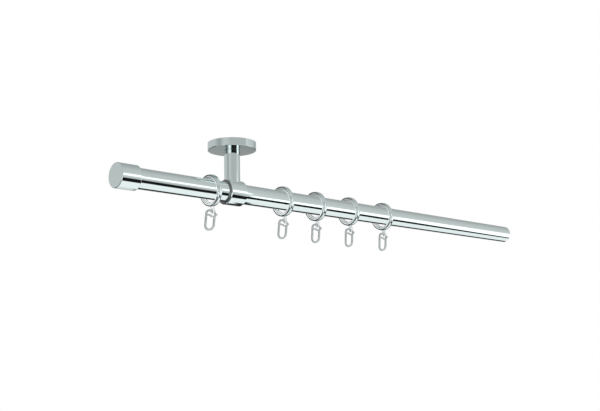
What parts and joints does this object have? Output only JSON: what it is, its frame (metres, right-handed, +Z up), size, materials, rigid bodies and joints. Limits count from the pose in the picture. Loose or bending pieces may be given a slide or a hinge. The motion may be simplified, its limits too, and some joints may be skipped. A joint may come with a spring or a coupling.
{
  "type": "curtain rod",
  "caption": "Chromed curtain rod on a ceiling bracket, with a plain end cap and gliding rings that each carry a moulded open hook.",
  "frame": {"origin": "centre of the bracket's ceiling face, between its two screw holes", "axes": "+Z up into the ceiling; +X along the rod, away from its end cap"},
  "size_m": [0.5943, 0.0488, 0.0921],
  "materials": {
    "chrome": "polished",
    "zinc_steel": "zinc plated",
    "clear_plastic": "translucent, moulded"
  },
  "bodies": {
    "rod_and_bracket": {"rod_tube": "chrome", "end_cap": "chrome", "ceiling_plate": "zinc_steel", "ceiling_cover": "chrome", "ceiling_stud": "zinc_steel", "bracket_post": "chrome", "bracket_collar": "chrome", "collar_screw": "zinc_steel", "rod_grub_screw": "zinc_steel"},
    "ring_1": {"ring_band_1": "chrome", "ring_liner_1": "clear_plastic"},
    "hook_1": {"ring_hook_1": "clear_plastic"},
    "ring_2": {"ring_band_2": "chrome", "ring_liner_2": "clear_plastic"},
    "hook_2": {"ring_hook_2": "clear_plastic"},
    "ring_3": {"ring_band_3": "chrome", "ring_liner_3": "clear_plastic"},
    "hook_3": {"ring_hook_3": "clear_plastic"},
    "ring_4": {"ring_band_4": "chrome", "ring_liner_4": "clear_plastic"},
    "hook_4": {"ring_hook_4": "clear_plastic"},
    "ring_5": {"ring_band_5": "chrome", "ring_liner_5": "clear_plastic"},
    "hook_5": {"ring_hook_5": "clear_plastic"}
  },
  "joints": [
    {"name": "ring_1_slide", "type": "slide", "parent": "rod_and_bracket", "child": "ring_1", "axis": [1, 0, 0], "range_m": [-0.0828, 0.0138]},
    {"name": "hook_1_swing", "type": "hinge", "parent": "ring_1", "child": "hook_1", "pos_m": [-0.02457, -0.00012, -0.07423], "axis": [0, 1, 0], "range_deg": [-45, 18]},
    {"name": "ring_2_slide", "type": "slide", "parent": "rod_and_bracket", "child": "ring_2", "axis": [1, 0, 0], "range_m": [-0.0528, 0.0324]},
    {"name": "hook_2_swing", "type": "hinge", "parent": "ring_2", "child": "hook_2", "pos_m": [0.07003, -0.00012, -0.07423], "axis": [0, 1, 0], "range_deg": [-45, 18]},
    {"name": "ring_3_slide", "type": "slide", "parent": "rod_and_bracket", "child": "ring_3", "axis": [1, 0, 0], "range_m": [-0.0324, 0.0357]},
    {"name": "hook_3_swing", "type": "hinge", "parent": "ring_3", "child": "hook_3", "pos_m": [0.11763, -0.00012, -0.07423], "axis": [0, 1, 0], "range_deg": [-45, 18]},
    {"name": "ring_4_slide", "type": "slide", "parent": "rod_and_bracket", "child": "ring_4", "axis": [1, 0, 0], "range_m": [-0.0357, 0.04]},
    {"name": "hook_4_swing", "type": "hinge", "parent": "ring_4", "child": "hook_4", "pos_m": [0.16853, -0.00012, -0.07423], "axis": [0, 1, 0], "range_deg": [-45, 18]},
    {"name": "ring_5_slide", "type": "slide", "parent": "rod_and_bracket", "child": "ring_5", "axis": [1, 0, 0], "range_m": [-0.04, 0.232]},
    {"name": "hook_5_swing", "type": "hinge", "parent": "ring_5", "child": "hook_5", "pos_m": [0.22373, -0.00012, -0.07423], "axis": [0, 1, 0], "range_deg": [-45, 18]}
  ]
}
